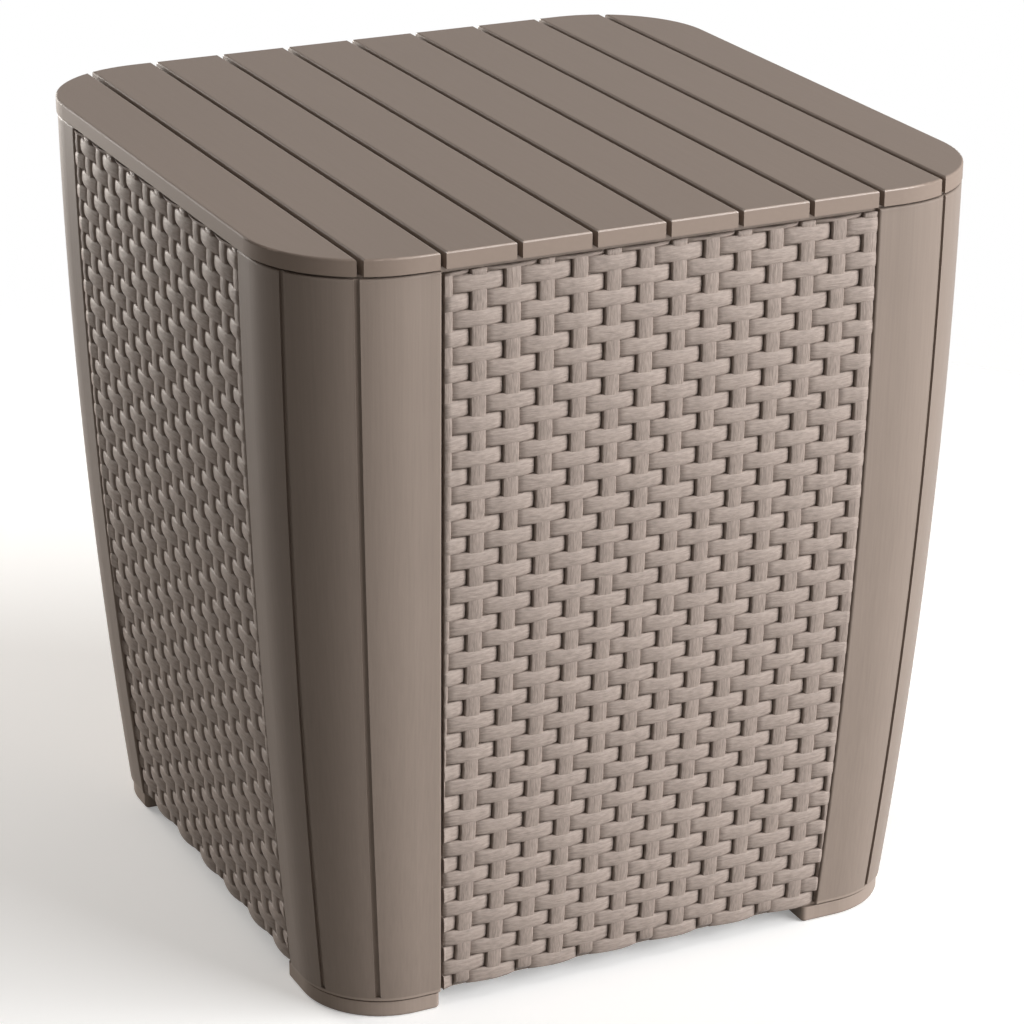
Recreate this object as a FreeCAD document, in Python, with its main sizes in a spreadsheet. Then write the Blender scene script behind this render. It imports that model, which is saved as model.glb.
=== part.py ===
"""Resin storage table: corner posts, woven-look panels, feet, a floor and a lift-off slatted lid.

Millimetres, +Z up. The origin is on the ground under the middle of the table, and the front faces -Y.
"""
import FreeCAD, Part
import math
import os
import re
import Sketcher

# Driving dimensions: name, value in millimetres or degrees, and what it measures.
SIZES = (
    ("lid_overhang", 1.6, "deck past the faces of the posts"),
    ("lid_corner_radius", 67, "rounded corners of the deck, seen from above"),
    ("plank_thickness", 9, "height of the deck's rim"),
    ("end_plank_width", 36.4, "first and last plank, where they are widest"),
    ("plank_gap", 3.2, "open gap between two planks"),
    ("plank_edge_radius", 1.2, "rounding of the planks' upper edges"),
    ("plank_skin", 3.5, "plank's upper skin over its hollow underside"),
    ("plank_wall", 3, "plank's side walls round its hollow underside"),
    ("tray_thickness", 3, "plate under the planks"),
    ("tray_clearance", 0.8, "tray to the rim of the posts"),
    ("skirt_depth", 15, "tray's locating skirt, below the plate"),
    ("skirt_thickness", 2.5, "wall of the skirt"),
    ("skirt_clearance", 1.5, "skirt to the lips inside the posts"),
    ("tray_rib_depth", 8, "ribs under the tray"),
    ("tray_rib_thickness", 2.5, "ribs under the tray"),
    ("tray_rib_spacing", 75, "rib to rib under the tray"),
    ("body_top_width", 408.8, "face to face at the top of the posts"),
    ("body_base_width", 361.8, "face to face at the bottom of the posts"),
    ("side_bow", 5.2, "how far a side's middle stands out from a straight taper"),
    ("wall_height", 418, "bottom of the posts to the seat of the lid"),
    ("corner_top_radius", 62, "outer corner of a post at its top"),
    ("corner_base_radius", 49, "outer corner of a post at its bottom"),
    ("corner_bow", 2.8, "how far the corner radius at mid height is above the mean"),
    ("post_top_flat", 5.9, "flat wall from the channel's web to the corner, at the top"),
    ("post_base_flat", 3.7, "flat wall from the channel's web to the corner, at the bottom"),
    ("post_wall", 3, "outer wall of a post"),
    ("rim_height", 1.5, "post's outer wall above the seat of the lid"),
    ("rim_rebate", 0.4, "rebate in the rim's inner side, beside the tray"),
    ("post_edge_radius", 1.2, "rounding of a post's rim and upright edges"),
    ("groove_width", 3, "upright grooves on the corner"),
    ("groove_depth", 1.4, "upright grooves on the corner"),
    ("groove_angle", 26, "groove's place on the corner arc, from the flat strip"),
    ("groove_end", 2, "solid strip left below the grooves"),
    ("tongue_thickness", 3, "panel's tongue in the post's channel"),
    ("tongue_reach", 7, "tongue past the edge of the post"),
    ("tongue_clearance", 0.3, "tongue to each side of the channel"),
    ("channel_end_clearance", 1, "tongue's end to the end of the channel"),
    ("lip_thickness", 2.4, "lip behind the tongue and web at the channel's end"),
    ("joint_gap_wide", 2.2, "open joint at a panel's left end, seen from outside"),
    ("joint_gap_narrow", 0.8, "open joint at a panel's right end, seen from outside"),
    ("upright_pitch", 18.9, "weave: one upright strand to the next"),
    ("upright_width", 8.5, "weave: upright strands"),
    ("upright_recess", 0.6, "weave: uprights' faces behind the posts' faces"),
    ("first_upright", 124.2, "weave: panel's middle to the leftmost upright, seen from outside"),
    ("row_pitch", 9.47, "weave: one row of across strands to the next"),
    ("row_width", 9, "weave: across strands"),
    ("top_row_rise", 2.5, "weave: middle of the top row above the panel's top, which cuts it"),
    ("span_length", 28, "weave: across strand where it shows, over one upright"),
    ("span_recess", 0.1, "weave: crowns of the spans behind the posts' faces"),
    ("span_drop", 2.9, "weave: ends of a span behind its crown"),
    ("strand_root", 0.3, "weave: strands' roots in the panel's plate"),
    ("ledge_height", 7, "underside of the floor ledge above the panel's bottom"),
    ("ledge_thickness", 3, "floor ledge inside each panel"),
    ("ledge_width", 16, "floor ledge inside each panel"),
    ("ledge_end_gap", 6, "end of the ledge to the edge of the post"),
    ("seat_thickness", 3, "web across the bottom of each post"),
    ("foot_height", 11, "foot under each post"),
    ("foot_inset", 1.5, "foot behind the post's faces"),
    ("foot_width", 20.5, "arms of the foot"),
    ("foot_arm_extra", 8, "how far the longer arm runs on under the panel"),
    ("foot_edge_radius", 2, "rounding of the foot's lower outer edge"),
    ("foot_arm_radius", 3, "rounding of the outer corner at the end of each arm"),
    ("foot_neck_height", 1.6, "shadow line between the foot and the post"),
    ("foot_neck_inset", 2.5, "shadow line: neck behind the foot's face"),
    ("foot_web", 4, "foot above the screw's head"),
    ("foot_screw_setback", 27, "foot screw behind the post's faces"),
    ("foot_screw_grip", 9, "foot screw's length in the boss"),
    ("boss_diameter", 10, "screw bosses"),
    ("floor_thickness", 3, "floor panel"),
    ("floor_clearance", 0.7, "floor panel to the lips inside the posts"),
    ("floor_rib_depth", 6, "ribs under the floor"),
    ("floor_rib_thickness", 2.5, "ribs under the floor"),
    ("floor_rib_spacing", 100, "rib to rib under the floor"),
    ("floor_rib_gap", 2, "end of a floor rib to the ledge"),
    ("screw_diameter", 3, "shank of the screws"),
    ("screw_fit", 0.1, "screw to the wall of its hole"),
    ("screw_tip_gap", 0.5, "tip of a screw to the end of its hole"),
    ("screw_head_diameter", 7, "pan head of the screws"),
    ("screw_head_height", 2, "pan head of the screws"),
    ("head_clearance", 0.75, "screw head to its counterbore"),
    ("plank_screw_inset", 12, "plank screws from where the tray's corners start to round"),
)
PLANKS = 10
TRAY_RIBS = (-1, 0, 1)
FLOOR_RIBS = (-1, 0, 1)
ALIASES = {name for name, _, _ in SIZES}

# Two places closer than this are taken as one
TOUCHING = 1e-3

doc = FreeCAD.newDocument("StorageTable")
sheet = doc.addObject("Spreadsheet::Sheet", "Sizes")
for row, (alias, size, note) in enumerate(SIZES, start=1):
    sheet.set(f"A{row}", note)
    sheet.set(f"B{row}", str(size))
    sheet.setAlias(f"B{row}", alias)
doc.recompute()


def from_sheet(text):
    """An expression in the sheet's names, as the document reads it."""
    return re.sub(r"[a-z_]+", lambda word: f"Sizes.{word[0]}" if word[0] in ALIASES else word[0], text)


def value(text):
    """The number that an expression in the sheet's names gives now."""
    return float(sheet.evalExpression(from_sheet(text)))


def bind(thing, **sizes):
    """Ties properties of an object to expressions; x, y and z stand for its place."""
    for key, text in sizes.items():
        path = f"Placement.Base.{key}" if key in ("x", "y", "z") else key
        thing.setExpression(path, from_sheet(text))
    return thing


# Heights that several pieces share
LID_SEAT = "(foot_height + wall_height)"
WALL_TOP = f"({LID_SEAT} + rim_height)"
DECK_BASE = f"({LID_SEAT} + tray_thickness)"
FLOOR_SEAT = "(foot_height + ledge_height + ledge_thickness)"

# Depths behind the posts' outer faces
TONGUE_FACE = "(post_wall + tongue_clearance)"
TONGUE_BACK = f"({TONGUE_FACE} + tongue_thickness)"
CHANNEL_BACK = f"({TONGUE_BACK} + tongue_clearance)"
LIP_BACK = f"({CHANNEL_BACK} + lip_thickness)"
CHANNEL_REACH = "(tongue_reach + channel_end_clearance)"
RIM_BACK = "(post_wall - rim_rebate)"
WEB_BACK = f"({CHANNEL_REACH} + lip_thickness)"
SKIRT_FACE = f"({LIP_BACK} + skirt_clearance)"
SKIRT_BACK = f"({SKIRT_FACE} + skirt_thickness)"

# Lid and screws
LID_HALF = "(body_top_width / 2 + lid_overhang)"
PITCH = f"((2 * {LID_HALF} - 2 * end_plank_width - plank_gap) / {PLANKS - 2})"
HOLLOW = "(plank_thickness - plank_skin)"
PILOT_RADIUS = "(screw_diameter / 2 + screw_fit)"
HEAD_ROOM = "(screw_head_diameter / 2 + head_clearance)"


class Level:
    """The body's outline at one height: half width, corner radius and the post's edge on a face."""

    def __init__(self, name, z, half, radius, flat):
        self.name = name
        self.z = z
        self.half = f"({half})"
        self.radius = f"({radius})"
        self.centre = f"({half} - ({radius}))"
        self.edge = f"({self.centre} - ({flat}) - {WEB_BACK})"

    def behind(self, depth):
        """The place that lies this deep behind the outer face."""
        return f"({self.half} - {depth})"


BASE = Level("base", "foot_height", "body_base_width / 2", "corner_base_radius", "post_base_flat")
WAIST = Level(
    "waist",
    f"(foot_height + {WALL_TOP}) / 2",
    "(body_top_width + body_base_width) / 4 + side_bow",
    "(corner_top_radius + corner_base_radius) / 2 + corner_bow",
    "(post_top_flat + post_base_flat) / 2",
)
TOP = Level("top", WALL_TOP, "body_top_width / 2", "corner_top_radius", "post_top_flat")
LEVELS = (BASE, WAIST, TOP)


def arc_between(start, end, radius):
    """The shorter arc that turns left from start to end."""
    chord = end - start
    rise = math.sqrt(radius**2 - (chord.Length / 2) ** 2)
    left = FreeCAD.Vector(-chord.y, chord.x, 0).normalize()
    centre = (start + end) / 2 + left * rise
    circle = Part.Circle(centre, FreeCAD.Vector(0, 0, 1), radius)
    first, last = (math.atan2(p.y - centre.y, p.x - centre.x) for p in (start, end))
    return Part.ArcOfCircle(circle, first, last)


def outline(sketch, corners):
    """Draws a closed outline and ties it to the sheet.

    A corner is (x, y), or (x, y, radius, turn) where an arc that turns left or right ends there.
    """
    points = [FreeCAD.Vector(value(c[0]), value(c[1]), 0) for c in corners]
    ends = []
    rules = []
    for index, corner in enumerate(corners):
        start, end = points[index - 1], points[index]
        if len(corner) == 2:
            edge = sketch.addGeometry(Part.LineSegment(start, end), False)
            ends.append((edge, 1, 2))
        elif corner[3] == "left":
            edge = sketch.addGeometry(arc_between(start, end, value(corner[2])), False)
            ends.append((edge, 1, 2))
        else:
            edge = sketch.addGeometry(arc_between(end, start, value(corner[2])), False)
            ends.append((edge, 2, 1))
    for index, corner in enumerate(corners):
        edge, first, last = ends[index]
        before, _, before_last = ends[index - 1]
        sketch.addConstraint(Sketcher.Constraint("Coincident", before, before_last, edge, first))
        place = points[index]
        across = Sketcher.Constraint("DistanceX", -1, 1, edge, last, place.x)
        rules.append((sketch.addConstraint(across), f"corner_{index}_x", corner[0]))
        along = Sketcher.Constraint("DistanceY", -1, 1, edge, last, place.y)
        rules.append((sketch.addConstraint(along), f"corner_{index}_y", corner[1]))
        if len(corner) == 4:
            bend = Sketcher.Constraint("Radius", edge, value(corner[2]))
            rules.append((sketch.addConstraint(bend), f"corner_{index}_radius", corner[2]))
    for number, name, text in rules:
        sketch.renameConstraint(number, name)
        sketch.setExpression(f"Constraints.{name}", from_sheet(text))
    return sketch


def circles(sketch, places, radius):
    """Draws equal circles and ties them to the sheet."""
    for index, (x, y) in enumerate(places):
        middle = FreeCAD.Vector(value(x), value(y), 0)
        ring = Part.Circle(middle, FreeCAD.Vector(0, 0, 1), value(radius))
        edge = sketch.addGeometry(ring, False)
        rules = (
            (Sketcher.Constraint("DistanceX", -1, 1, edge, 3, middle.x), "x", x),
            (Sketcher.Constraint("DistanceY", -1, 1, edge, 3, middle.y), "y", y),
            (Sketcher.Constraint("Radius", edge, value(radius)), "radius", radius),
        )
        for rule, kind, text in rules:
            name = f"circle_{index}_{kind}"
            sketch.renameConstraint(sketch.addConstraint(rule), name)
            sketch.setExpression(f"Constraints.{name}", from_sheet(text))
    return sketch


def flat_sketch(body, name, z):
    """A sketch of a body, level with the ground at height z."""
    ground = next(f for f in body.Origin.OriginFeatures if f.Role == "XY_Plane")
    sketch = body.newObject("Sketcher::SketchObject", name)
    sketch.AttachmentSupport = (ground, [""])
    sketch.MapMode = "FlatFace"
    sketch.setExpression("AttachmentOffset.Base.z", from_sheet(z))
    return sketch


def lofted(body, kind, name, section, levels):
    """A loft through one section at each level."""
    sketches = [outline(flat_sketch(body, f"{name}_{lv.name}", lv.z), section(lv)) for lv in levels]
    loft = body.newObject(f"PartDesign::{kind}", name)
    loft.Profile = sketches[0]
    loft.Sections = sketches[1:]
    doc.recompute()
    return loft


def padded(body, kind, name, sketch, length, downward=False):
    """A pad or a pocket of a level sketch."""
    feature = body.newObject(f"PartDesign::{kind}", name)
    feature.Profile = sketch
    feature.Reversed = downward if kind == "Pad" else not downward
    bind(feature, Length=length)
    doc.recompute()
    return feature


def rounded(body, name, feature, radius, chosen):
    """A fillet on the edges of a feature whose middles pass a test."""
    edges = [
        f"Edge{number}"
        for number, edge in enumerate(feature.Shape.Edges, start=1)
        if chosen(edge.valueAt((edge.FirstParameter + edge.LastParameter) / 2))
    ]
    fillet = body.newObject("PartDesign::Fillet", name)
    fillet.Base = (feature, edges)
    bind(fillet, Radius=radius)
    doc.recompute()
    return fillet


def post_section(lv):
    """A post at the back right corner: outer wall and, at both ends, a channel with its lip."""
    end, web = f"({lv.edge} + {CHANNEL_REACH})", f"({lv.edge} + {WEB_BACK})"
    wall, channel, lip = (lv.behind(depth) for depth in ("post_wall", CHANNEL_BACK, LIP_BACK))
    start = [(lv.edge, wall), (end, wall), (end, channel), (lv.edge, channel), (lv.edge, lip), (web, lip)]
    start += [(web, wall), (lv.centre, wall)]
    mirrored = [(y, x) for x, y in reversed(start)]
    inner = (wall, lv.centre, f"{lv.radius} - post_wall", "right")
    outer = (lv.centre, lv.half, lv.radius, "left")
    face = [(lv.half, lv.edge), (lv.half, lv.centre), outer, (lv.edge, lv.half)]
    return start + [inner] + mirrored[1:] + face


def groove_section(side):
    """A groove square to the corner arc: side 0 is by the back face, side 1 by the right one."""

    def section(lv):
        spread = "groove_width / 2"
        corners = []
        for reach, across in ((-1, 1), (-1, -1), (1, -1), (1, 1)):
            out = f"({lv.radius} + {reach} * groove_depth)"
            x = f"{lv.centre} + {out} * sin(groove_angle) + {across} * {spread} * cos(groove_angle)"
            y = f"{lv.centre} + {out} * cos(groove_angle) - {across} * {spread} * sin(groove_angle)"
            corners.append((x, y) if side == 0 else (y, x))
        return corners

    return section


def make_post():
    """The post at the back right corner."""
    body = doc.addObject("PartDesign::Body", "post")
    lofted(body, "AdditiveLoft", "wall", post_section, LEVELS)
    seat = flat_sketch(body, "seat_outline", BASE.z)
    end = f"({BASE.edge} + {CHANNEL_REACH})"
    middle, lip = BASE.behind("post_wall / 2"), BASE.behind(LIP_BACK)
    corners = [(lip, end), (middle, end), (middle, BASE.centre)]
    corners += [(BASE.centre, middle, f"{BASE.radius} - post_wall / 2", "left"), (end, middle), (end, lip)]
    outline(seat, corners)
    padded(body, "Pad", "seat", seat, "seat_thickness")
    screw = (BASE.behind("foot_screw_setback"),) * 2
    boss = circles(flat_sketch(body, "boss_outline", BASE.z), [screw], "boss_diameter / 2")
    padded(body, "Pad", "boss", boss, f"{FLOOR_SEAT} - foot_height")
    bore = circles(flat_sketch(body, "bore_outline", BASE.z), [screw], PILOT_RADIUS)
    padded(body, "Pocket", "bore", bore, "foot_screw_grip + screw_tip_gap")
    rebate = flat_sketch(body, "rebate_outline", TOP.z)
    near, rim = f"({TOP.edge} - {LIP_BACK})", TOP.behind(RIM_BACK)
    corners = [(near, near), (rim, near), (rim, TOP.centre)]
    corners += [(TOP.centre, rim, f"{TOP.radius} - {RIM_BACK}", "left"), (near, rim)]
    outline(rebate, corners)
    cut = padded(body, "Pocket", "rebate", rebate, "rim_height", downward=True)
    height, half = value(TOP.z), value(TOP.half)
    centre = value(TOP.centre)
    near_edge, near_face = value(WAIST.edge), value(WAIST.half)
    nearby = value("post_wall") / 2

    def on_outer_edge(point):
        out = math.hypot(max(point.x - centre, 0), max(point.y - centre, 0)) + centre
        outermost = abs(max(out, point.x, point.y) - half) < TOUCHING
        on_rim = abs(point.z - height) < TOUCHING and outermost
        low, high = sorted((point.x, point.y))
        return on_rim or math.hypot(low - near_edge, high - near_face) < nearby

    rounded(body, "edge_rounding", cut, "post_edge_radius", on_outer_edge)
    lowest = Level("low", "foot_height + groove_end", BASE.half, BASE.radius, "post_base_flat")
    for side in (0, 1):
        lofted(body, "SubtractiveLoft", f"groove_{side}", groove_section(side), (lowest, WAIST, TOP))
    return body


def rectangle(left, front, right, back):
    """Corners of a rectangle."""
    return [(left, front), (right, front), (right, back), (left, back)]


def plate_section(lv):
    """The back panel's plate, whose ends are tongues in the posts' channels."""
    tip = f"({lv.edge} + tongue_reach)"
    return rectangle(f"-{tip}", lv.behind(TONGUE_BACK), tip, lv.behind(TONGUE_FACE))


class Weave:
    """Strands on the back panel's plate. Seen from outside, the panel's left is at +X."""

    def __init__(self):
        self.heights, self.halves, self.edges = (
            [value(getattr(lv, part)) for lv in LEVELS] for part in ("z", "half", "edge")
        )
        self.bottom, self.top = self.heights[0], value(LID_SEAT)
        self.root = value(f"{TONGUE_FACE} + strand_root")
        ends = [self.ends(z) for z in self.heights]
        room = self.bar(ends, -self.root, 2 * self.root)
        reach = 2 * self.halves[-1]
        corner = FreeCAD.Vector(-reach, 0, self.bottom)
        self.room = room.common(Part.makeBox(2 * reach, reach, self.top - self.bottom, corner))
        width = value("first_upright + upright_width / 2") - min(right for right, _ in ends)
        self.columns = math.ceil(width / value("upright_pitch"))
        self.rows = math.ceil(value("(wall_height + top_row_rise) / row_pitch + 1 / 2"))

    def bowed(self, sizes, z):
        """A size at height z, on the curve through its three levels."""
        total = 0
        for size, own in zip(sizes, self.heights):
            others = [height for height in self.heights if height != own]
            total += size * math.prod((z - other) / (own - other) for other in others)
        return total

    def ends(self, z):
        """Right and left end of the woven face at a height."""
        edge = self.bowed(self.edges, z)
        return value("joint_gap_narrow") - edge, edge - value("joint_gap_wide")

    def place(self, x, depth, z):
        """A point this deep behind the posts' faces."""
        return FreeCAD.Vector(x, self.bowed(self.halves, z) - depth, z)

    def bar(self, ends, front, back):
        """An upright bar that follows the panel's bow, between two depths."""
        wires = []
        for (right, left), z in zip(ends, self.heights):
            corners = [(right, back), (left, back), (left, front), (right, front), (right, back)]
            wires.append(Part.makePolygon([self.place(x, depth, z) for x, depth in corners]))
        return Part.makeLoft(wires, True, False)

    def column(self, number):
        """X of an upright, counted from 0 at the left."""
        return value("first_upright") - number * value("upright_pitch")

    def uprights(self):
        """One bar for each column, trimmed to the panel."""
        half, recess = value("upright_width / 2"), value("upright_recess")
        middles = [self.column(number) for number in range(self.columns)]
        bars = [self.bar([(x - half, x + half)] * len(self.heights), recess, self.root) for x in middles]
        return [bar.common(self.room) for bar in bars]

    def span(self, x, middle):
        """An across strand where it arches over the upright at x, trimmed to the panel."""
        half, crown, drop = value("span_length / 2"), value("span_recess"), value("span_drop")
        low = max(middle - value("row_width / 2"), self.bottom)
        high = min(middle + value("row_width / 2"), self.top)
        right, left = (self.place(x + side * half, crown + drop, low) for side in (-1, 1))
        arch = Part.Arc(left, self.place(x, crown, low), right).toShape()
        corners = [right, self.place(right.x, self.root, low), self.place(left.x, self.root, low), left]
        profile = Part.Face(Part.Wire([arch, *Part.makePolygon(corners).Edges]))
        solid = profile.extrude(self.place(x, crown, high) - self.place(x, crown, low))
        right_end, left_end = self.ends(low)
        inside = right_end < right.x and left.x < left_end
        return solid if inside else solid.common(self.room)

    def spans(self):
        """Rows from the top down. One goes over every second upright, and the next over the others."""
        top_row = self.top + value("top_row_rise")
        return [
            self.span(self.column(number), top_row - row * value("row_pitch"))
            for row in range(self.rows)
            for number in range(row % 2, self.columns, 2)
        ]


def make_panel():
    """The panel at the back: a woven face on a plate, with the ledge that carries the floor."""
    body = doc.addObject("PartDesign::Body", "panel_plate")
    lofted(body, "AdditiveLoft", "plate", plate_section, LEVELS)
    top = flat_sketch(body, "top_outline", TOP.z)
    outline(top, rectangle(f"-{TOP.half}", TOP.behind(LIP_BACK), TOP.half, f"({TOP.half} + rim_height)"))
    padded(body, "Pocket", "top_trim", top, "rim_height", downward=True)
    ledge = flat_sketch(body, "ledge_outline", "foot_height + ledge_height")
    end = f"({BASE.edge} - ledge_end_gap)"
    root, front = f"({TONGUE_BACK} - tongue_thickness / 2)", f"({TONGUE_BACK} + ledge_width)"
    outline(ledge, rectangle(f"-{end}", BASE.behind(front), end, BASE.behind(root)))
    padded(body, "Pad", "ledge", ledge, "ledge_thickness")
    weave = Weave()
    strands = weave.uprights() + weave.spans()
    # A copy of the plate without the names of its faces joins the many strands much faster
    plate = Part.Solid(Part.Shell(body.Shape.Faces))
    panel = doc.addObject("Part::Feature", "panel")
    panel.Shape = plate.fuse([solid for strand in strands for solid in strand.Solids])
    return panel


def make_foot():
    """The foot at the back right corner. Its arm along the right side runs on under the panel."""
    body = doc.addObject("PartDesign::Body", "foot")
    back = BASE.behind("(foot_inset + foot_width)")

    def corners(inset):
        face, end = BASE.behind(f"(foot_inset + {inset})"), f"({BASE.edge} + {inset})"
        far = f"({BASE.edge} - foot_arm_extra + {inset})"
        arc = (BASE.centre, face, f"({BASE.radius} - foot_inset - {inset})", "left")
        outside = [(back, far), (face, far), (face, BASE.centre), arc, (end, face)]
        return outside + [(end, back), (BASE.centre, back), (back, BASE.centre)]

    sole = outline(flat_sketch(body, "sole_outline", "0"), corners("0"))
    block = padded(body, "Pad", "block", sole, "foot_height - foot_neck_height")
    inner, outer, end = value(back), value(BASE.behind("foot_inset")), value(BASE.edge)

    def on_arm_end(point):
        on_face = max(point.x, point.y) > outer - TOUCHING and min(point.x, point.y) < end + TOUCHING
        return on_face and TOUCHING < point.z < value("foot_height - foot_neck_height") - TOUCHING

    def on_sole(point):
        return point.z < TOUCHING and max(point.x, point.y) > inner + TOUCHING

    ends = rounded(body, "arm_rounding", block, "foot_arm_radius", on_arm_end)
    rounded(body, "sole_rounding", ends, "foot_edge_radius", on_sole)
    above = flat_sketch(body, "neck_outline", "foot_height - foot_neck_height")
    neck = outline(above, corners("foot_neck_inset"))
    padded(body, "Pad", "neck", neck, "foot_neck_height")
    screw = (BASE.behind("foot_screw_setback"),) * 2
    hole = circles(flat_sketch(body, "hole_outline", "0"), [screw], PILOT_RADIUS)
    padded(body, "Pocket", "hole", hole, "foot_height")
    counterbore = circles(flat_sketch(body, "counterbore_outline", "0"), [screw], HEAD_ROOM)
    padded(body, "Pocket", "counterbore", counterbore, "foot_height - foot_web")
    return body


def make_screw(name, length):
    """A pan-head screw that points up, with the seat of its head at the origin."""
    body = doc.addObject("PartDesign::Body", name)
    upright = next(f for f in body.Origin.OriginFeatures if f.Role == "XZ_Plane")
    sketch = body.newObject("Sketcher::SketchObject", f"{name}_profile")
    sketch.AttachmentSupport = (upright, [""])
    sketch.MapMode = "FlatFace"
    head, shank = "screw_head_diameter / 2", "screw_diameter / 2"
    corners = [("0", "-screw_head_height"), (f"{head} - screw_head_height / 2", "-screw_head_height")]
    corners += [(head, "-screw_head_height / 2", "screw_head_height / 2", "left"), (head, "0")]
    corners += [(shank, "0"), (shank, f"{length} - {shank}"), ("0", length)]
    outline(sketch, corners)
    turned = body.newObject("PartDesign::Revolution", f"{name}_turned")
    turned.Profile = sketch
    turned.ReferenceAxis = (sketch, ["V_Axis"])
    turned.Angle = 360
    doc.recompute()
    return body


def box(name, x, y, z, length, width, height):
    """A block from its lowest corner."""
    block = doc.addObject("Part::Box", name)
    return bind(block, x=x, y=y, z=z, Length=length, Width=width, Height=height)


def cylinder(name, x, y, z, radius, height):
    """An upright round bar."""
    bar = doc.addObject("Part::Cylinder", name)
    return bind(bar, x=x, y=y, z=z, Radius=radius, Height=height)


def slab(name, half, radius, z, height):
    """A square plate with rounded corners, about the middle of the table."""
    flat = f"({half} - ({radius}))"
    sketch = bind(doc.addObject("Sketcher::SketchObject", f"{name}_outline"), z=z)
    corners = [(half, f"-{flat}", radius, "left"), (half, flat), (flat, half, radius, "left")]
    corners += [(f"-{flat}", half), (f"-{half}", flat, radius, "left"), (f"-{half}", f"-{flat}")]
    corners += [(f"-{flat}", f"-{half}", radius, "left"), (flat, f"-{half}")]
    outline(sketch, corners)
    plate = doc.addObject("Part::Extrusion", name)
    plate.Base = sketch
    plate.DirMode = "Custom"
    plate.Dir = FreeCAD.Vector(0, 0, 1)
    plate.Solid = True
    return bind(plate, LengthFwd=height)


def combined(kind, name, base, tool):
    """A cut or common of two shapes."""
    result = doc.addObject(f"Part::{kind}", name)
    result.Base = base
    result.Tool = tool
    return result


def fused(name, shapes):
    """Shapes joined into one solid."""
    result = doc.addObject("Part::MultiFuse", name)
    result.Shapes = shapes
    result.Refine = True
    return result


def grouped(name, shapes):
    """Separate shapes kept as one group."""
    result = doc.addObject("Part::Compound", name)
    result.Links = shapes
    return result


def screw_line(number):
    """X of a plank's screws, counted from 1 at the left: its middle, or inside the skirt on an end plank."""
    if number in (1, PLANKS):
        side = 1 if number == PLANKS else -1
        return f"({side} * ({LID_HALF} - end_plank_width + {TOP.behind(SKIRT_BACK)}) / 2)"
    return f"({number - PLANKS / 2 - 0.5} * {PITCH})"


def at_plank_screws(make):
    """One shape at each plank screw, front row and back row."""
    row = f"({TOP.centre} - plank_screw_inset)"
    rows = (("front", f"-{row}"), ("back", row))
    numbers = range(1, PLANKS + 1)
    return [make(f"{end}_{number}", screw_line(number), y) for number in numbers for end, y in rows]


def plank_strip(name, number, inset, height):
    """The strip of the deck that one plank takes. The outer strips reach past the deck's sides."""
    left = f"({number - 1 - PLANKS / 2} * {PITCH} + plank_gap / 2 + {inset})"
    right = f"({number - PLANKS / 2} * {PITCH} - plank_gap / 2 - {inset})"
    left = f"-2 * {LID_HALF}" if number == 1 else left
    right = f"2 * {LID_HALF}" if number == PLANKS else right
    front, length = f"-2 * {LID_HALF}", f"4 * {LID_HALF}"
    return box(name, left, front, DECK_BASE, f"{right} - ({left})", length, height)


def make_plank(number):
    """One plank: rounded along its upper edges, hollow underneath, with a boss at each screw."""
    strip = plank_strip(f"strip_{number}", number, "0", "plank_thickness")
    blank = combined("Common", f"blank_{number}", deck, strip)
    doc.recompute()
    top, radius = value(f"{DECK_BASE} + plank_thickness"), value("plank_edge_radius")
    upper = [i for i, edge in enumerate(blank.Shape.Edges, start=1) if edge.BoundBox.ZMin > top - TOUCHING]
    eased = doc.addObject("Part::Fillet", f"eased_{number}")
    eased.Base = blank
    eased.Edges = [(i, radius, radius) for i in upper]
    inside = plank_strip(f"inside_{number}", number, "plank_wall", HOLLOW)
    room = combined("Common", f"room_{number}", deck_hollow, inside)
    recess = combined("Cut", f"recess_{number}", room, plank_bosses)
    shell = combined("Cut", f"shell_{number}", eased, recess)
    return combined("Cut", f"plank_{number:02}", shell, plank_bores)


def make_tray():
    """The lid's tray: plate, locating skirt, ribs, and a hole at each plank screw."""
    depth = f"({RIM_BACK} + tray_clearance)"
    plate = slab("tray_plate", TOP.behind(depth), f"({TOP.radius} - {depth})", LID_SEAT, "tray_thickness")
    low = f"({LID_SEAT} - skirt_depth)"
    outer, inner = (
        slab(name, TOP.behind(back), f"({TOP.radius} - {back})", low, "skirt_depth")
        for name, back in (("skirt_outer", SKIRT_FACE), ("skirt_inner", SKIRT_BACK))
    )
    skirt = combined("Cut", "skirt", outer, inner)
    reach = TOP.behind(f"({SKIRT_FACE} + skirt_thickness / 2)")
    ribs = [
        box(
            f"tray_rib_{place}",
            f"-{reach}",
            f"{place} * tray_rib_spacing - tray_rib_thickness / 2",
            f"{LID_SEAT} - tray_rib_depth",
            f"2 * {reach}",
            "tray_rib_thickness",
            "tray_rib_depth",
        )
        for place in TRAY_RIBS
    ]
    return combined("Cut", "lid_tray", fused("tray_blank", [plate, skirt, *ribs]), plank_bores)


def make_floor():
    """The floor panel, with crossed ribs underneath that stop short of the ledges."""
    depth = f"({LIP_BACK} + floor_clearance)"
    half, radius = BASE.behind(depth), f"({BASE.radius} - {depth})"
    plate = slab("floor_plate", half, radius, FLOOR_SEAT, "floor_thickness")
    reach = BASE.behind(f"({TONGUE_BACK} + ledge_width + floor_rib_gap)")
    low = f"{FLOOR_SEAT} - floor_rib_depth"
    ribs = []
    for place in FLOOR_RIBS:
        side = f"{place} * floor_rib_spacing - floor_rib_thickness / 2"
        size = (f"2 * {reach}", "floor_rib_thickness", "floor_rib_depth")
        ribs.append(box(f"floor_rib_x_{place}", f"-{reach}", side, low, *size))
        ribs.append(box(f"floor_rib_y_{place}", side, f"-{reach}", low, size[1], size[0], size[2]))
    return fused("floor_panel", [plate, *ribs])


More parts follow.
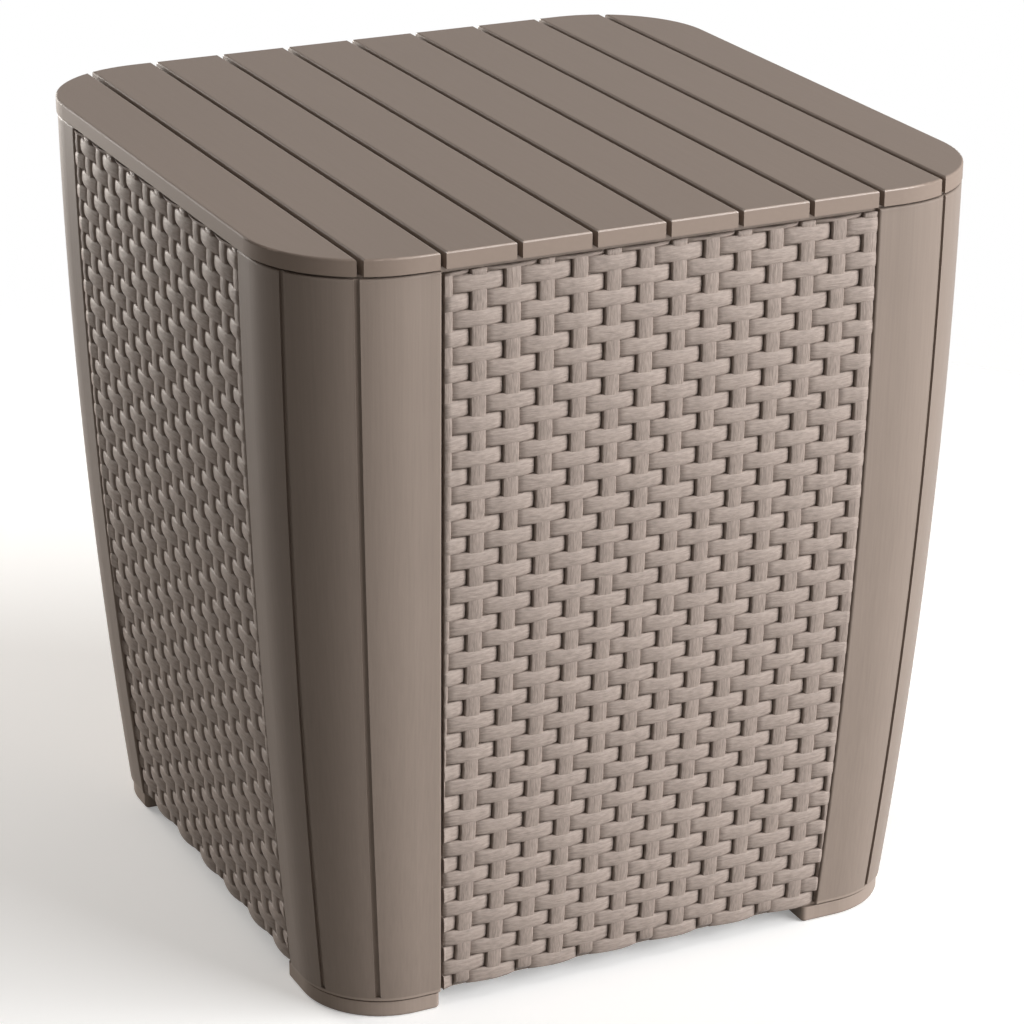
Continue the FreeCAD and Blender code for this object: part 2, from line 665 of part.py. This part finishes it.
def turned_copies(body, names):
    """One moulding used four times round the table, each a quarter turn on from the last."""
    body.Label = names[0]
    copies = [body]
    for turn, name in enumerate(names[1:], start=1):
        copy = doc.addObject("App::Link", name)
        copy.LinkedObject = body
        quarter_turns = FreeCAD.Rotation(FreeCAD.Vector(0, 0, 1), 90 * turn)
        copy.Placement = FreeCAD.Placement(FreeCAD.Vector(), quarter_turns)
        copies.append(copy)
    return copies


def screw_at(screw, name, x, y, z):
    """A screw of a group, put where its head seats."""
    copy = doc.addObject("App::Link", name)
    copy.LinkedObject = screw
    return bind(copy, x=x, y=y, z=z)


CORNERS = ("back_right", "back_left", "front_left", "front_right")
SIDES = ("back", "left", "front", "right")

nodes = turned_copies(make_post(), [f"post_{place}" for place in CORNERS])
nodes += turned_copies(make_panel(), [f"panel_{side}" for side in SIDES])
nodes += turned_copies(make_foot(), [f"foot_{place}" for place in CORNERS])
nodes.append(make_floor())

deck = slab("deck", LID_HALF, "lid_corner_radius", DECK_BASE, "plank_thickness")
room_half, room_radius = f"({LID_HALF} - plank_wall)", "(lid_corner_radius - plank_wall)"
deck_hollow = slab("deck_hollow", room_half, room_radius, DECK_BASE, HOLLOW)
boss_size, bore_size = ("boss_diameter / 2", HOLLOW), (PILOT_RADIUS, f"tray_thickness + {HOLLOW}")
bosses = at_plank_screws(lambda n, x, y: cylinder(f"boss_{n}", x, y, DECK_BASE, *boss_size))
bores = at_plank_screws(lambda n, x, y: cylinder(f"bore_{n}", x, y, LID_SEAT, *bore_size))
plank_bosses, plank_bores = grouped("plank_bosses", bosses), grouped("plank_bores", bores)
nodes.append(make_tray())
nodes += [make_plank(number) for number in range(1, PLANKS + 1)]

plank_screw = make_screw("plank_screw", f"(tray_thickness + {HOLLOW} - screw_tip_gap)")
heads = at_plank_screws(lambda n, x, y: screw_at(plank_screw, f"plank_screw_{n}", x, y, LID_SEAT))
nodes.append(grouped("plank_screws", heads))
foot_screw = make_screw("foot_screw", "(foot_web + foot_screw_grip)")
spot = BASE.behind("foot_screw_setback")
spots = [(x, y) for x in (spot, f"-{spot}") for y in (spot, f"-{spot}")]
seat = "foot_height - foot_web"
heads = [screw_at(foot_screw, f"foot_screw_{i}", x, y, seat) for i, (x, y) in enumerate(spots, start=1)]
nodes.append(grouped("foot_screws", heads))
doc.recompute()

failed = [thing.Name for thing in doc.Objects if {"Invalid", "Error"} & set(thing.State)]
shapes = {node.Label: Part.getShape(node) for node in nodes}
failed += [name for name, shape in shapes.items() if shape.isNull() or not shape.isValid()]
if failed:
    raise RuntimeError(f"these did not build: {', '.join(failed)}")
os.makedirs("parts", exist_ok=True)
for name, shape in shapes.items():
    shape.exportStep(f"parts/{name}.step")
    print(f"{name}: {len(shape.Solids)} solid, {shape.Volume / 1000:.1f} cm3")
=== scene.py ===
"""Looks of the resin storage table: woven sides, smooth corner posts and a slatted lift-off lid.

Metres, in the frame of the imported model: +Z up, with the front facing -Y.
"""
import math

import bmesh
import bpy
from mathutils import Matrix, Vector


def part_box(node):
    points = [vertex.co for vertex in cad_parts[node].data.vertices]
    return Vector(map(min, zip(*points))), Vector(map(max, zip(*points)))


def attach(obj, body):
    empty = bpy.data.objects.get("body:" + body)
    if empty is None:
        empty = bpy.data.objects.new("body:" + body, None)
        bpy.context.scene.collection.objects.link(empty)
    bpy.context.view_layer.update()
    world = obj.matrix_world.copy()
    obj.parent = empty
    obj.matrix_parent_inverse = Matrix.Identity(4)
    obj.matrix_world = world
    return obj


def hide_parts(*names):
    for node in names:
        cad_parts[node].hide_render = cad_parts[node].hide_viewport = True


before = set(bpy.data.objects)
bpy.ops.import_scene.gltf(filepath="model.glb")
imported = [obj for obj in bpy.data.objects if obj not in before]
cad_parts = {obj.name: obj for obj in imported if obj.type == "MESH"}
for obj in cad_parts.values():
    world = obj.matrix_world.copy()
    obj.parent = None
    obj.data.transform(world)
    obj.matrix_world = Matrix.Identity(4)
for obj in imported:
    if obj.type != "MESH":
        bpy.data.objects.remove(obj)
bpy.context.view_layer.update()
MM = 0.001

# Heights that come from the frame
POST_BOTTOM, POST_TOP = (corner.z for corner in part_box("post_front_left"))
PANEL_BOTTOM, PANEL_TOP = (corner.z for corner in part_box("panel_front"))
DECK_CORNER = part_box("plank_05")[1]

# Outline of the body at the bottom, the middle and the top of the posts
LEVELS = (POST_BOTTOM, (POST_BOTTOM + POST_TOP) / 2, POST_TOP)
FACES = (180.9 * MM, 197.85 * MM, 204.4 * MM)
POST_EDGES = (117.8 * MM, 124.35 * MM, 126.1 * MM)

# Open joints between a panel and its posts, seen from outside
LEFT_JOINT = 1.7 * MM
RIGHT_JOINT = 0.8 * MM

# Weave: columns of upright strands, and rows of across strands that go over every second upright
COLUMNS = 14
COLUMN_PITCH = 18.9 * MM
FIRST_COLUMN = -124.2 * MM
ROWS = 45
ROW_PITCH = 9.47 * MM
TOP_ROW = 431.5 * MM
UPRIGHT_HALF = 4.35 * MM
ACROSS_HALF = 4.65 * MM
SPAN_HALF = 14.9 * MM
SPAN_SHIFT = -0.7 * MM
SPAN_TAPER = 0.08
SPAN_TILT = 0.3 * MM

# Heights of the strands above the posts' faces
SPAN_CROWN = -0.1 * MM
SPAN_DROP_LEFT = 1.8 * MM
SPAN_DROP_RIGHT = 2.5 * MM
UPRIGHT_FACE = -0.35 * MM
UPRIGHT_DIP = 0.6 * MM
STRAND_ROOT = -3.6 * MM

# Strand sections: place across the strand in shares of its half width, and drop from its crown
ACROSS_SECTION = ((0.97, 0.85 * MM), (0.78, 0.36 * MM), (0.45, 0.08 * MM), (0, 0))
UPRIGHT_SECTION = ((0.97, 0.45 * MM), (0.8, 0.12 * MM), (0, 0))
SPAN_STATIONS = (-1, -0.97, -0.65, -0.3, 0, 0.3, 0.65, 0.97, 1)

# Plate under the strands, with a tongue at each end, and the ledge inside that carries the floor
PLATE_FACE = -3.3 * MM
PLATE_THICKNESS = 3 * MM
PLATE_STEPS = 24
TONGUE_REACH = 7 * MM
LEDGE_LOW = Vector((-111.8, -176.1, 18)) * MM
LEDGE_HIGH = Vector((111.8, -158.6, 21)) * MM

# Finishes of a woven panel, in the order that its faces number them
PLAIN, ACROSS, UPRIGHT, BED = range(4)

# Resin colours, linear
TAUPE = (0.256, 0.206, 0.175)
# Painted light: the feet are a lighter copy of the posts' resin, standing in for light thrown up from the
# floor.
FOOT_PAINTED_LIGHT_TAUPE = (0.320, 0.258, 0.220)
DECK_TAUPE = (0.262, 0.204, 0.169)
STRAND_TAUPE = (0.330, 0.273, 0.242)
# Painted shade: the uprights are a darker copy of the across strands' resin.
UPRIGHT_PAINTED_SHADE_TAUPE = (0.296, 0.243, 0.214)
# Painted shade: the slots' bottom is darker than the strands' resin.
PAINTED_SHADE_TAUPE = (0.22, 0.172, 0.143)
RESIN_GLOSS = {"Specular IOR Level": 0.15}
DECK_GLOSS = {"Specular IOR Level": 0.2, "Coat Roughness": 0.22}

# Painted highlight along the posts' lower edge, which lightens their colour there: where it is full and
# where it ends, its strength and shade
LIP_HIGHLIGHT_FULL = POST_BOTTOM + 1.0 * MM
LIP_HIGHLIGHT_END = POST_BOTTOM + 1.9 * MM
LIP_HIGHLIGHT_STRENGTH = 0.8
LIP_HIGHLIGHT_SHADE = 1.35

# Clear coat and painted highlight along the planks' end edges: how far in from the end and how far below the
# top they fade
COAT_AND_HIGHLIGHT_IN = (2.0 * MM, 1.1 * MM)
COAT_AND_HIGHLIGHT_BELOW = (1.1 * MM, 0.7 * MM, 0.25 * MM, 0.03 * MM)
PAINTED_HIGHLIGHT_STRENGTH = 0.5
PAINTED_HIGHLIGHT_SHADE = 1.6

# Lamps: place from their target, power in watts, size and colour
LAMP_TARGET = Vector((0, 0, 0.22))
LAMPS = {
    "key_light": (Vector((2.048, -2.304, 0.864)), 158, 2.6, (1, 1, 1)),
    "back_light": (Vector((-0.6, 1.9, 0.22)), 34, 0.8, (1, 0.95, 0.89)),
    "top_light": (Vector((0.684, -0.648, 1.53)), 5, 0.5, (1, 1, 1)),
}

# Backdrop and floor: what the camera and reflections see, what lights the object, where the floor fades
WORLD_FILL = 0.18
FILL_TINT = (1, 0.945, 0.865)
FLOOR_SEEN = 0.95
FLOOR_BOUNCE = (0.34, 0.325, 0.303)
FLOOR_GLOW = 0.25
FLOOR_RADIUS = 2.5
FADE_START = 0.6
FADE_END = 1.1

# Camera, as fitted to the photograph
CAMERA_PLACE = Vector((-0.8200, -1.7288, 0.9696))
CAMERA_AZIMUTH = -25.67
CAMERA_ELEVATION = 21.72
CAMERA_ROLL = 0.18
CAMERA_LENS = 124.57
CAMERA_SENSOR = 36.0


class Shade:
    """One socket of a node tree. Arithmetic on it adds Math nodes."""

    def __init__(self, nodes, socket):
        self.nodes = nodes
        self.socket = socket

    def __add__(self, other):
        return self.nodes.maths("ADD", self, other)

    def __sub__(self, other):
        return self.nodes.maths("SUBTRACT", self, other)

    def __rsub__(self, other):
        return self.nodes.maths("SUBTRACT", other, self)

    def __mul__(self, other):
        return self.nodes.maths("MULTIPLY", self, other)

    __radd__ = __add__
    __rmul__ = __mul__


class Nodes:
    """The node tree of a material or of the world."""

    def __init__(self, tree):
        self.tree = tree

    def node(self, kind, output, settings, sockets):
        """Adds a node, sets it up, fills its sockets and gives back one of its outputs."""
        made = self.tree.nodes.new(kind)
        for key, setting in settings.items():
            setattr(made, key, setting)
        for key, filling in sockets.items():
            self.fill(made.inputs[key], filling)
        return Shade(self, made.outputs[output])

    def fill(self, socket, filling):
        """Links a shade to a socket, or sets the socket's own value."""
        if isinstance(filling, Shade):
            self.tree.links.new(filling.socket, socket)
        else:
            socket.default_value = filling

    def maths(self, operation, first, second):
        return self.node("ShaderNodeMath", 0, {"operation": operation}, {0: first, 1: second})

    def place(self, source, stretch=(1, 1, 1)):
        """Coordinates of the piece in metres, stretched."""
        start = self.node("ShaderNodeTexCoord", source, {}, {})
        return self.node("ShaderNodeMapping", 0, {}, {"Vector": start, "Scale": stretch})

    def along(self, axis, where):
        """One coordinate of a place."""
        return self.node("ShaderNodeSeparateXYZ", axis, {}, {"Vector": where})

    def noise(self, where, per_metre, detail=3.0, roughness=0.5):
        """Soft noise from 0 to 1, with so many cells to the metre."""
        sockets = {"Vector": where, "Scale": per_metre, "Detail": detail, "Roughness": roughness}
        return self.node("ShaderNodeTexNoise", "Fac", {}, sockets)

    def mix(self, mask, first, second):
        """A colour between two colours."""
        sockets = {0: mask, 6: first, 7: second}
        return self.node("ShaderNodeMix", 2, {"data_type": "RGBA"}, sockets)

    def ramp(self, level, low, high):
        """A soft step from 0 at low to 1 at high."""
        sockets = {"Value": level, "From Min": low, "From Max": high}
        return self.node("ShaderNodeMapRange", 0, {"interpolation_type": "SMOOTHSTEP"}, sockets)

    def bump(self, height, distance):
        return self.node("ShaderNodeBump", 0, {}, {"Height": height, "Distance": distance})

    def seen(self):
        """1 on rays that show the backdrop, straight, mirrored or through a clear piece, and else 0."""
        level = 0
        for ray in ("Is Camera Ray", "Is Glossy Ray", "Is Transmission Ray"):
            level = self.maths("MAXIMUM", level, self.node("ShaderNodeLightPath", ray, {}, {}))
        return level


class Finish(Nodes):
    """A material being put together round one Principled shader."""

    def __init__(self, name, plain):
        self.material = bpy.data.materials.new(name)
        self.material.use_nodes = True
        super().__init__(self.material.node_tree)
        self.shader = self.tree.nodes["Principled BSDF"]
        self.wear(plain)

    def wear(self, sockets):
        """Feeds the shader's sockets and gives back the material."""
        for socket, filling in sockets.items():
            self.fill(self.shader.inputs[socket], filling)
        return self.material


def shade_of(colour, share):
    """A colour made darker or lighter, ready for a colour socket."""
    return (*[part * share for part in colour], 1.0)


def grey(level):
    return shade_of((1, 1, 1), level)


def moulded_resin(name, colour, roughness, lip_highlight_strength=0):
    """Satin moulded resin: a fine pebbled skin, upright brush marks and, on posts, a painted highlight along
    the lower edge.
    """
    finish = Finish(name, RESIN_GLOSS)
    where = finish.place("Object")
    cloud = finish.noise(where, 14)
    pebble = finish.noise(where, 1600, 2.0)
    brush = finish.noise(finish.place("Object", (1, 1, 0.015)), 700, 3.0, 0.6)
    tone = 2.5 * (0.35 * cloud + 0.65 * brush) - 0.75
    skin = finish.mix(tone, shade_of(colour, 0.94), shade_of(colour, 1.06))
    if lip_highlight_strength:
        # Painted highlight: the base colour is lightened in a band along the posts' lower edge.
        painted_lip_highlight = 1 - finish.ramp(finish.along("Z", where), LIP_HIGHLIGHT_FULL, LIP_HIGHLIGHT_END)
        skin = finish.mix(lip_highlight_strength * painted_lip_highlight, skin, shade_of(colour, LIP_HIGHLIGHT_SHADE))
    return finish.wear({
        "Base Color": skin,
        "Roughness": roughness - 0.06 + 0.12 * pebble,
        "Normal": finish.bump(0.5 * pebble + 0.5 * brush, 0.08 * MM),
    })


def deck_resin(name, colour):
    """Matte deck resin, with a faint grain along the planks and, along their end edges, a clear coat and a
    painted highlight that lightens the colour.
    """
    finish = Finish(name, DECK_GLOSS)
    where = finish.place("Object")
    y, z = finish.along("Y", where), finish.along("Z", where)
    end = finish.ramp(y * y, *[(DECK_CORNER.y - inward) ** 2 for inward in COAT_AND_HIGHLIGHT_IN])
    heights = [DECK_CORNER.z - below for below in COAT_AND_HIGHLIGHT_BELOW]
    # Mask of the clear coat and of the painted highlight along the planks' end edges.
    edge = end * finish.ramp(z, *heights[:2]) * (1 - finish.ramp(z, *heights[2:]))
    grain = finish.noise(finish.place("Object", (1, 0.04, 1)), 420, 4.0)
    pebble = finish.noise(where, 1400, 2.0)
    tone = 0.55 * grain + 0.45 * finish.noise(where, 9)
    skin = finish.mix(tone, shade_of(colour, 0.94), shade_of(colour, 1.06))
    return finish.wear({
        # Painted highlight: the base colour is lightened along the end edges.
        "Base Color": finish.mix(PAINTED_HIGHLIGHT_STRENGTH * edge, skin, shade_of(colour, PAINTED_HIGHLIGHT_SHADE)),
        "Coat Weight": edge,
        "Roughness": 0.5 + 0.12 * pebble,
        "Normal": finish.bump(0.6 * grain + 0.4 * pebble, 0.06 * MM),
    })


def strand_resin(name, colour):
    """Strands of the weave: fine streaks along each strand, which the UV map follows."""
    finish = Finish(name, RESIN_GLOSS)
    fine = finish.noise(finish.place("UV", (0.06, 1, 1)), 1500, 3.0, 0.6)
    blotch = finish.noise(finish.place("UV", (0.3, 1, 1)), 700, 2.0)
    cloud = finish.noise(finish.place("UV"), 60)
    streaks = 3.5 * (0.35 * fine + 0.45 * blotch + 0.2 * cloud) - 1.25
    return finish.wear({
        "Base Color": finish.mix(streaks, shade_of(colour, 0.78), shade_of(colour, 1.22)),
        "Roughness": 0.42 + 0.2 * fine,
        "Normal": finish.bump(0.5 * fine + 0.5 * blotch, 0.5 * MM),
    })


def painted_shade_resin(name, colour):
    """Bottom of the slots between strands: resin painted darker than the strands as painted shade, with a
    random mottle.
    """
    finish = Finish(name, {})
    dust = finish.noise(finish.place("Object"), 180, 4.0)
    return finish.wear({
        "Base Color": finish.mix(dust, shade_of(colour, 0.8), shade_of(colour, 1.2)),
        "Roughness": 0.6 + 0.2 * dust,
    })


def zinc_steel(name):
    """Zinc-plated screws."""
    finish = Finish(name, {"Metallic": 1.0})
    spangle = finish.noise(finish.place("Object"), 700, 3.0)
    return finish.wear({
        "Base Color": finish.mix(spangle, (0.46, 0.46, 0.44, 1), (0.62, 0.62, 0.6, 1)),
        "Roughness": 0.28 + 0.16 * spangle,
    })


def at_height(sizes, z):
    """A size of the body at height z, on the curve through its three levels."""
    low, middle, high = LEVELS
    first = sizes[0] * (z - middle) * (z - high) / ((low - middle) * (low - high))
    second = sizes[1] * (z - low) * (z - high) / ((middle - low) * (middle - high))
    third = sizes[2] * (z - low) * (z - middle) / ((high - low) * (high - middle))
    return first + second + third


def panel_ends(z):
    """Left and right end of the woven face at a height."""
    edge = at_height(POST_EDGES, z)
    return LEFT_JOINT - edge, edge - RIGHT_JOINT


def on_front(x, rise, z):
    """A point of the front panel, kept between the panel's ends. Rise is above the posts' faces."""
    z = min(max(z, PANEL_BOTTOM), PANEL_TOP)
    left, right = panel_ends(z)
    return Vector((min(max(x, left), right), -at_height(FACES, z) - rise, z))


def section(profile):
    """Points across a strand: its sides at the root, rounded edges and the crown."""
    left = [(-share, drop) for share, drop in profile]
    return [(-1, None), *left, *profile[-2::-1], (1, None)]


def lay_strand(weave, stations, across, surface, finish):
    """One closed strand: a grid whose points surface places, with its UV, and a bottom in the plate."""
    steps = (len(stations) - 1, len(across) - 1)
    uv = weave.loops.layers.uv.active
    grid = bmesh.ops.create_grid(weave, x_segments=steps[0], y_segments=steps[1], size=0.5)
    along_strand = {}
    sides = set()
    for vert in grid["verts"]:
        i, j = (round((part + 0.5) * count) for part, count in zip(vert.co.xy, steps))
        share, drop = across[j]
        at_root = drop is None
        if i in (0, steps[0]):
            share, at_root = (1 if share > 0 else -1), True
        vert.co, along_strand[vert] = surface(stations[i], share, STRAND_ROOT if at_root else -drop)
        if j in (0, steps[1]):
            sides.add(vert)
    faces = {face for vert in grid["verts"] for face in vert.link_faces}
    for face in faces:
        face.material_index = finish
        face.smooth = True
        for loop in face.loops:
            loop[uv].uv = along_strand[loop.vert]
    edges = {edge for face in faces for edge in face.edges}
    open_sides = [edge for edge in edges if edge.is_boundary and sides.issuperset(edge.verts)]
    bmesh.ops.bridge_loops(weave, edges=open_sides)


def lay_span(weave, column, row):
    """An across strand where it shows: an arch over one upright, down to the plate at its ends."""
    middle_x = FIRST_COLUMN + column * COLUMN_PITCH
    middle_z = TOP_ROW - row * ROW_PITCH

    def surface(station, share, height):
        x = middle_x + SPAN_SHIFT + station * SPAN_HALF
        half = ACROSS_HALF * (1 - SPAN_TAPER * station**4)
        z = middle_z + share * half - SPAN_TILT * station
        drop = SPAN_DROP_LEFT if station < 0 else SPAN_DROP_RIGHT
        arch = SPAN_CROWN - drop * station**2
        return on_front(x, max(arch + height, STRAND_ROOT), z), (x, z)

    lay_strand(weave, SPAN_STATIONS, section(ACROSS_SECTION), surface, ACROSS)


def lay_upright(weave, column):
    """An upright strand: it stands out between the spans and dips under them."""
    middle_x = FIRST_COLUMN + column * COLUMN_PITCH
    stations = [step / 2 for step in range(-1, 2 * ROWS)]

    def surface(station, share, height):
        x = middle_x + share * UPRIGHT_HALF
        z = TOP_ROW - station * ROW_PITCH
        dip = UPRIGHT_DIP * (1 + math.cos(math.pi * (station - column))) / 2
        left, right = panel_ends(z)
        beside = middle_x + UPRIGHT_HALF < left or middle_x - UPRIGHT_HALF > right
        rise = STRAND_ROOT if beside else max(UPRIGHT_FACE - dip + height, STRAND_ROOT)
        return on_front(x, rise, z), (z, x)

    lay_strand(weave, stations, section(UPRIGHT_SECTION), surface, UPRIGHT)


def lay_plate(weave):
    """The plate under the strands, and the ledge inside it."""
    grid = bmesh.ops.create_grid(weave, x_segments=1, y_segments=PLATE_STEPS, size=0.5)
    for vert in grid["verts"]:
        z = PANEL_BOTTOM + (vert.co.y + 0.5) * (PANEL_TOP - PANEL_BOTTOM)
        reach = at_height(POST_EDGES, z) + TONGUE_REACH
        vert.co = (math.copysign(reach, vert.co.x), -at_height(FACES, z) - PLATE_FACE, z)
    front = {face for vert in grid["verts"] for face in vert.link_faces}
    made = bmesh.ops.extrude_face_region(weave, geom=list(front), use_keep_orig=True)
    back = [part for part in made["geom"] if isinstance(part, bmesh.types.BMVert)]
    bmesh.ops.translate(weave, verts=back, vec=(0, PLATE_THICKNESS, 0))
    for face in front:
        # The plate's face takes the slot finish with its painted shade.
        face.material_index = BED
    ledge = bmesh.ops.create_cube(weave, size=1)
    bmesh.ops.scale(weave, verts=ledge["verts"], vec=LEDGE_HIGH - LEDGE_LOW)
    bmesh.ops.translate(weave, verts=ledge["verts"], vec=(LEDGE_HIGH + LEDGE_LOW) / 2)


def lay_weave():
    """The front panel, before copies of it are turned to the other sides."""
    weave = bmesh.new()
    weave.loops.layers.uv.new("UVMap")
    for column in range(COLUMNS):
        lay_upright(weave, column)
        for row in range(column % 2, ROWS, 2):
            lay_span(weave, column, row)
    bmesh.ops.dissolve_degenerate(weave, dist=1e-6, edges=weave.edges)
    lay_plate(weave)
    bmesh.ops.recalc_face_normals(weave, faces=weave.faces)
    return weave


def mesh_object(name, shape, finishes):
    """An object of the scene from a bmesh, which is used up."""
    mesh = bpy.data.meshes.new(name)
    shape.to_mesh(mesh)
    shape.free()
    for finish in finishes:
        mesh.materials.append(finish)
    made = bpy.data.objects.new(name, mesh)
    bpy.context.scene.collection.objects.link(made)
    return made


def woven_panels():
    """A woven panel on each side, in place of the plainer solid."""
    finishes = (
        moulded_resin("panel_resin", TAUPE, 0.5),
        strand_resin("across_strand", STRAND_TAUPE),
        strand_resin("upright_strand", UPRIGHT_PAINTED_SHADE_TAUPE),
        painted_shade_resin("slot_shade", PAINTED_SHADE_TAUPE),
    )
    weave = lay_weave()
    for quarter, side in enumerate(("front", "right", "back", "left")):
        turned = weave.copy()
        turn = Matrix.Rotation(quarter * math.pi / 2, 3, "Z")
        bmesh.ops.rotate(turned, verts=turned.verts, matrix=turn)
        panel = mesh_object(f"woven_panel_{side}", turned, finishes)
        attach(panel, "body")
        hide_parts(f"panel_{side}")
    weave.free()


def dress(starts, material):
    """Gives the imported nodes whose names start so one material."""
    for name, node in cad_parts.items():
        if name.startswith(starts):
            node.data.materials.clear()
            node.data.materials.append(material)


def lamp(name, place, power, size, colour):
    """A soft square lamp, aimed at the middle of the table."""
    light = bpy.data.lights.new(name, "AREA")
    light.energy = power
    light.color = colour
    light.size = size
    holder = bpy.data.objects.new(name, light)
    holder.location = LAMP_TARGET + place
    holder.rotation_euler = (-place).to_track_quat("-Z", "Y").to_euler()
    bpy.context.scene.collection.objects.link(holder)


def backdrop():
    """White world behind the table, which lights it only a little."""
    world = bpy.data.worlds.new("studio")
    bpy.context.scene.world = world
    world.use_nodes = True
    nodes = Nodes(world.node_tree)
    background = world.node_tree.nodes["Background"]
    seen = nodes.seen()
    nodes.fill(background.inputs["Color"], nodes.mix(seen, shade_of(FILL_TINT, 1), grey(1)))
    nodes.fill(background.inputs["Strength"], WORLD_FILL + (1 - WORLD_FILL) * seen)


def floor_paper():
    """Pale paper that takes shadows, and fades into the backdrop further out and from below."""
    finish = Finish("floor_paper", {"Roughness": 0.9})
    seen = finish.seen()
    finish.wear({"Base Color": finish.mix(seen, shade_of(FLOOR_BOUNCE, 1), grey(FLOOR_SEEN))})
    matte = Shade(finish, finish.shader.outputs[0])
    glow = finish.node("ShaderNodeEmission", 0, {}, {"Strength": FLOOR_GLOW * seen})
    lit = finish.node("ShaderNodeAddShader", 0, {}, {0: matte, 1: glow})
    clear = finish.node("ShaderNodeBsdfTransparent", 0, {}, {})
    away = finish.node("ShaderNodeVectorMath", "Value", {"operation": "LENGTH"}, {0: finish.place("Object")})
    under = finish.node("ShaderNodeNewGeometry", "Backfacing", {}, {})
    faded = finish.maths("MAXIMUM", finish.ramp(away, FADE_START, FADE_END), under)
    paper = finish.node("ShaderNodeMixShader", 0, {}, {0: faded, 1: lit, 2: clear})
    finish.fill(finish.tree.nodes["Material Output"].inputs["Surface"], paper)
    return finish.material


def pale_floor():
    """The floor, a wide disc."""
    disc = bmesh.new()
    bmesh.ops.create_circle(disc, cap_ends=True, segments=96, radius=FLOOR_RADIUS)
    mesh_object("floor", disc, [floor_paper()])


def photo_camera():
    """The camera, at the photograph's viewing angle."""
    lens = bpy.data.cameras.new("camera")
    lens.lens = CAMERA_LENS
    lens.sensor_width = CAMERA_SENSOR
    camera = bpy.data.objects.new("camera", lens)
    turn = Matrix.Rotation(math.radians(CAMERA_AZIMUTH), 4, "Z")
    tilt = Matrix.Rotation(math.radians(90 - CAMERA_ELEVATION), 4, "X")
    roll = Matrix.Rotation(math.radians(CAMERA_ROLL), 4, "Z")
    camera.matrix_world = Matrix.Translation(CAMERA_PLACE) @ turn @ tilt @ roll
    bpy.context.scene.collection.objects.link(camera)
    bpy.context.scene.camera = camera


dress("post_", moulded_resin("post_resin", TAUPE, 0.46, LIP_HIGHLIGHT_STRENGTH))
dress("foot_", moulded_resin("foot_resin", FOOT_PAINTED_LIGHT_TAUPE, 0.5))
dress(("floor_panel", "lid_tray"), moulded_resin("inner_resin", TAUPE, 0.52))
dress(("plank_0", "plank_10"), deck_resin("deck_resin", DECK_TAUPE))
dress(("plank_screws", "foot_screws"), zinc_steel("zinc_steel"))
woven_panels()

bpy.context.scene.view_settings.view_transform = "Standard"
for lamp_name, settings in LAMPS.items():
    lamp(lamp_name, *settings)
backdrop()
pale_floor()
photo_camera()
